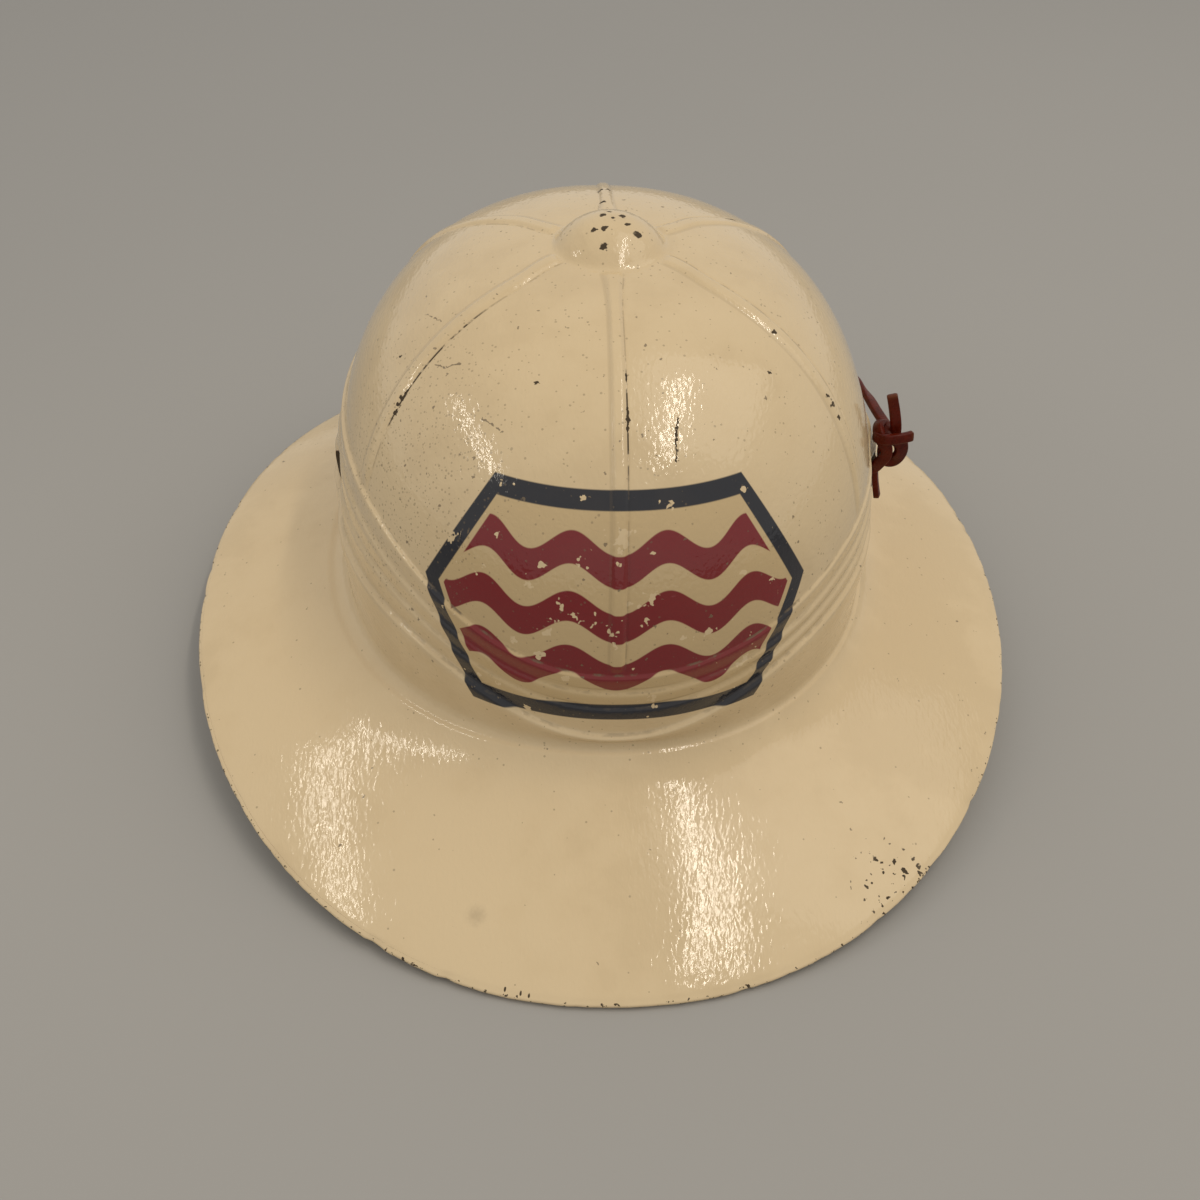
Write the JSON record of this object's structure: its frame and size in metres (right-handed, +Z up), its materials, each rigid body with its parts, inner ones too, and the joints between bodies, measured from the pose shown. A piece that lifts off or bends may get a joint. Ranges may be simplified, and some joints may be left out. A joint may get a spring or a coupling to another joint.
{
  "type": "pith helmet",
  "caption": "Pressed-fibre sun helmet in worn cream enamel, with a ribbed crown, top button, wrapped folds, drooping brim and a knotted leather lace chin strap.",
  "frame": {"origin": "middle of the shell's box, on the surface that the brim's front and back stand on", "axes": "+Z up through the crown; the front faces -Y; +X is the side of the lace's knot"},
  "size_m": [0.2746, 0.327, 0.15],
  "materials": {
    "enamel": "worn glossy cream enamel on pressed fibre",
    "lace_leather": "waxed red-brown leather lace"
  },
  "bodies": {
    "root": {"shell": "enamel", "lace_strap": "lace_leather", "lace_knot": "lace_leather", "lace_stop_side": "lace_leather", "lace_stop_rear": "lace_leather"}
  },
  "joints": []
}
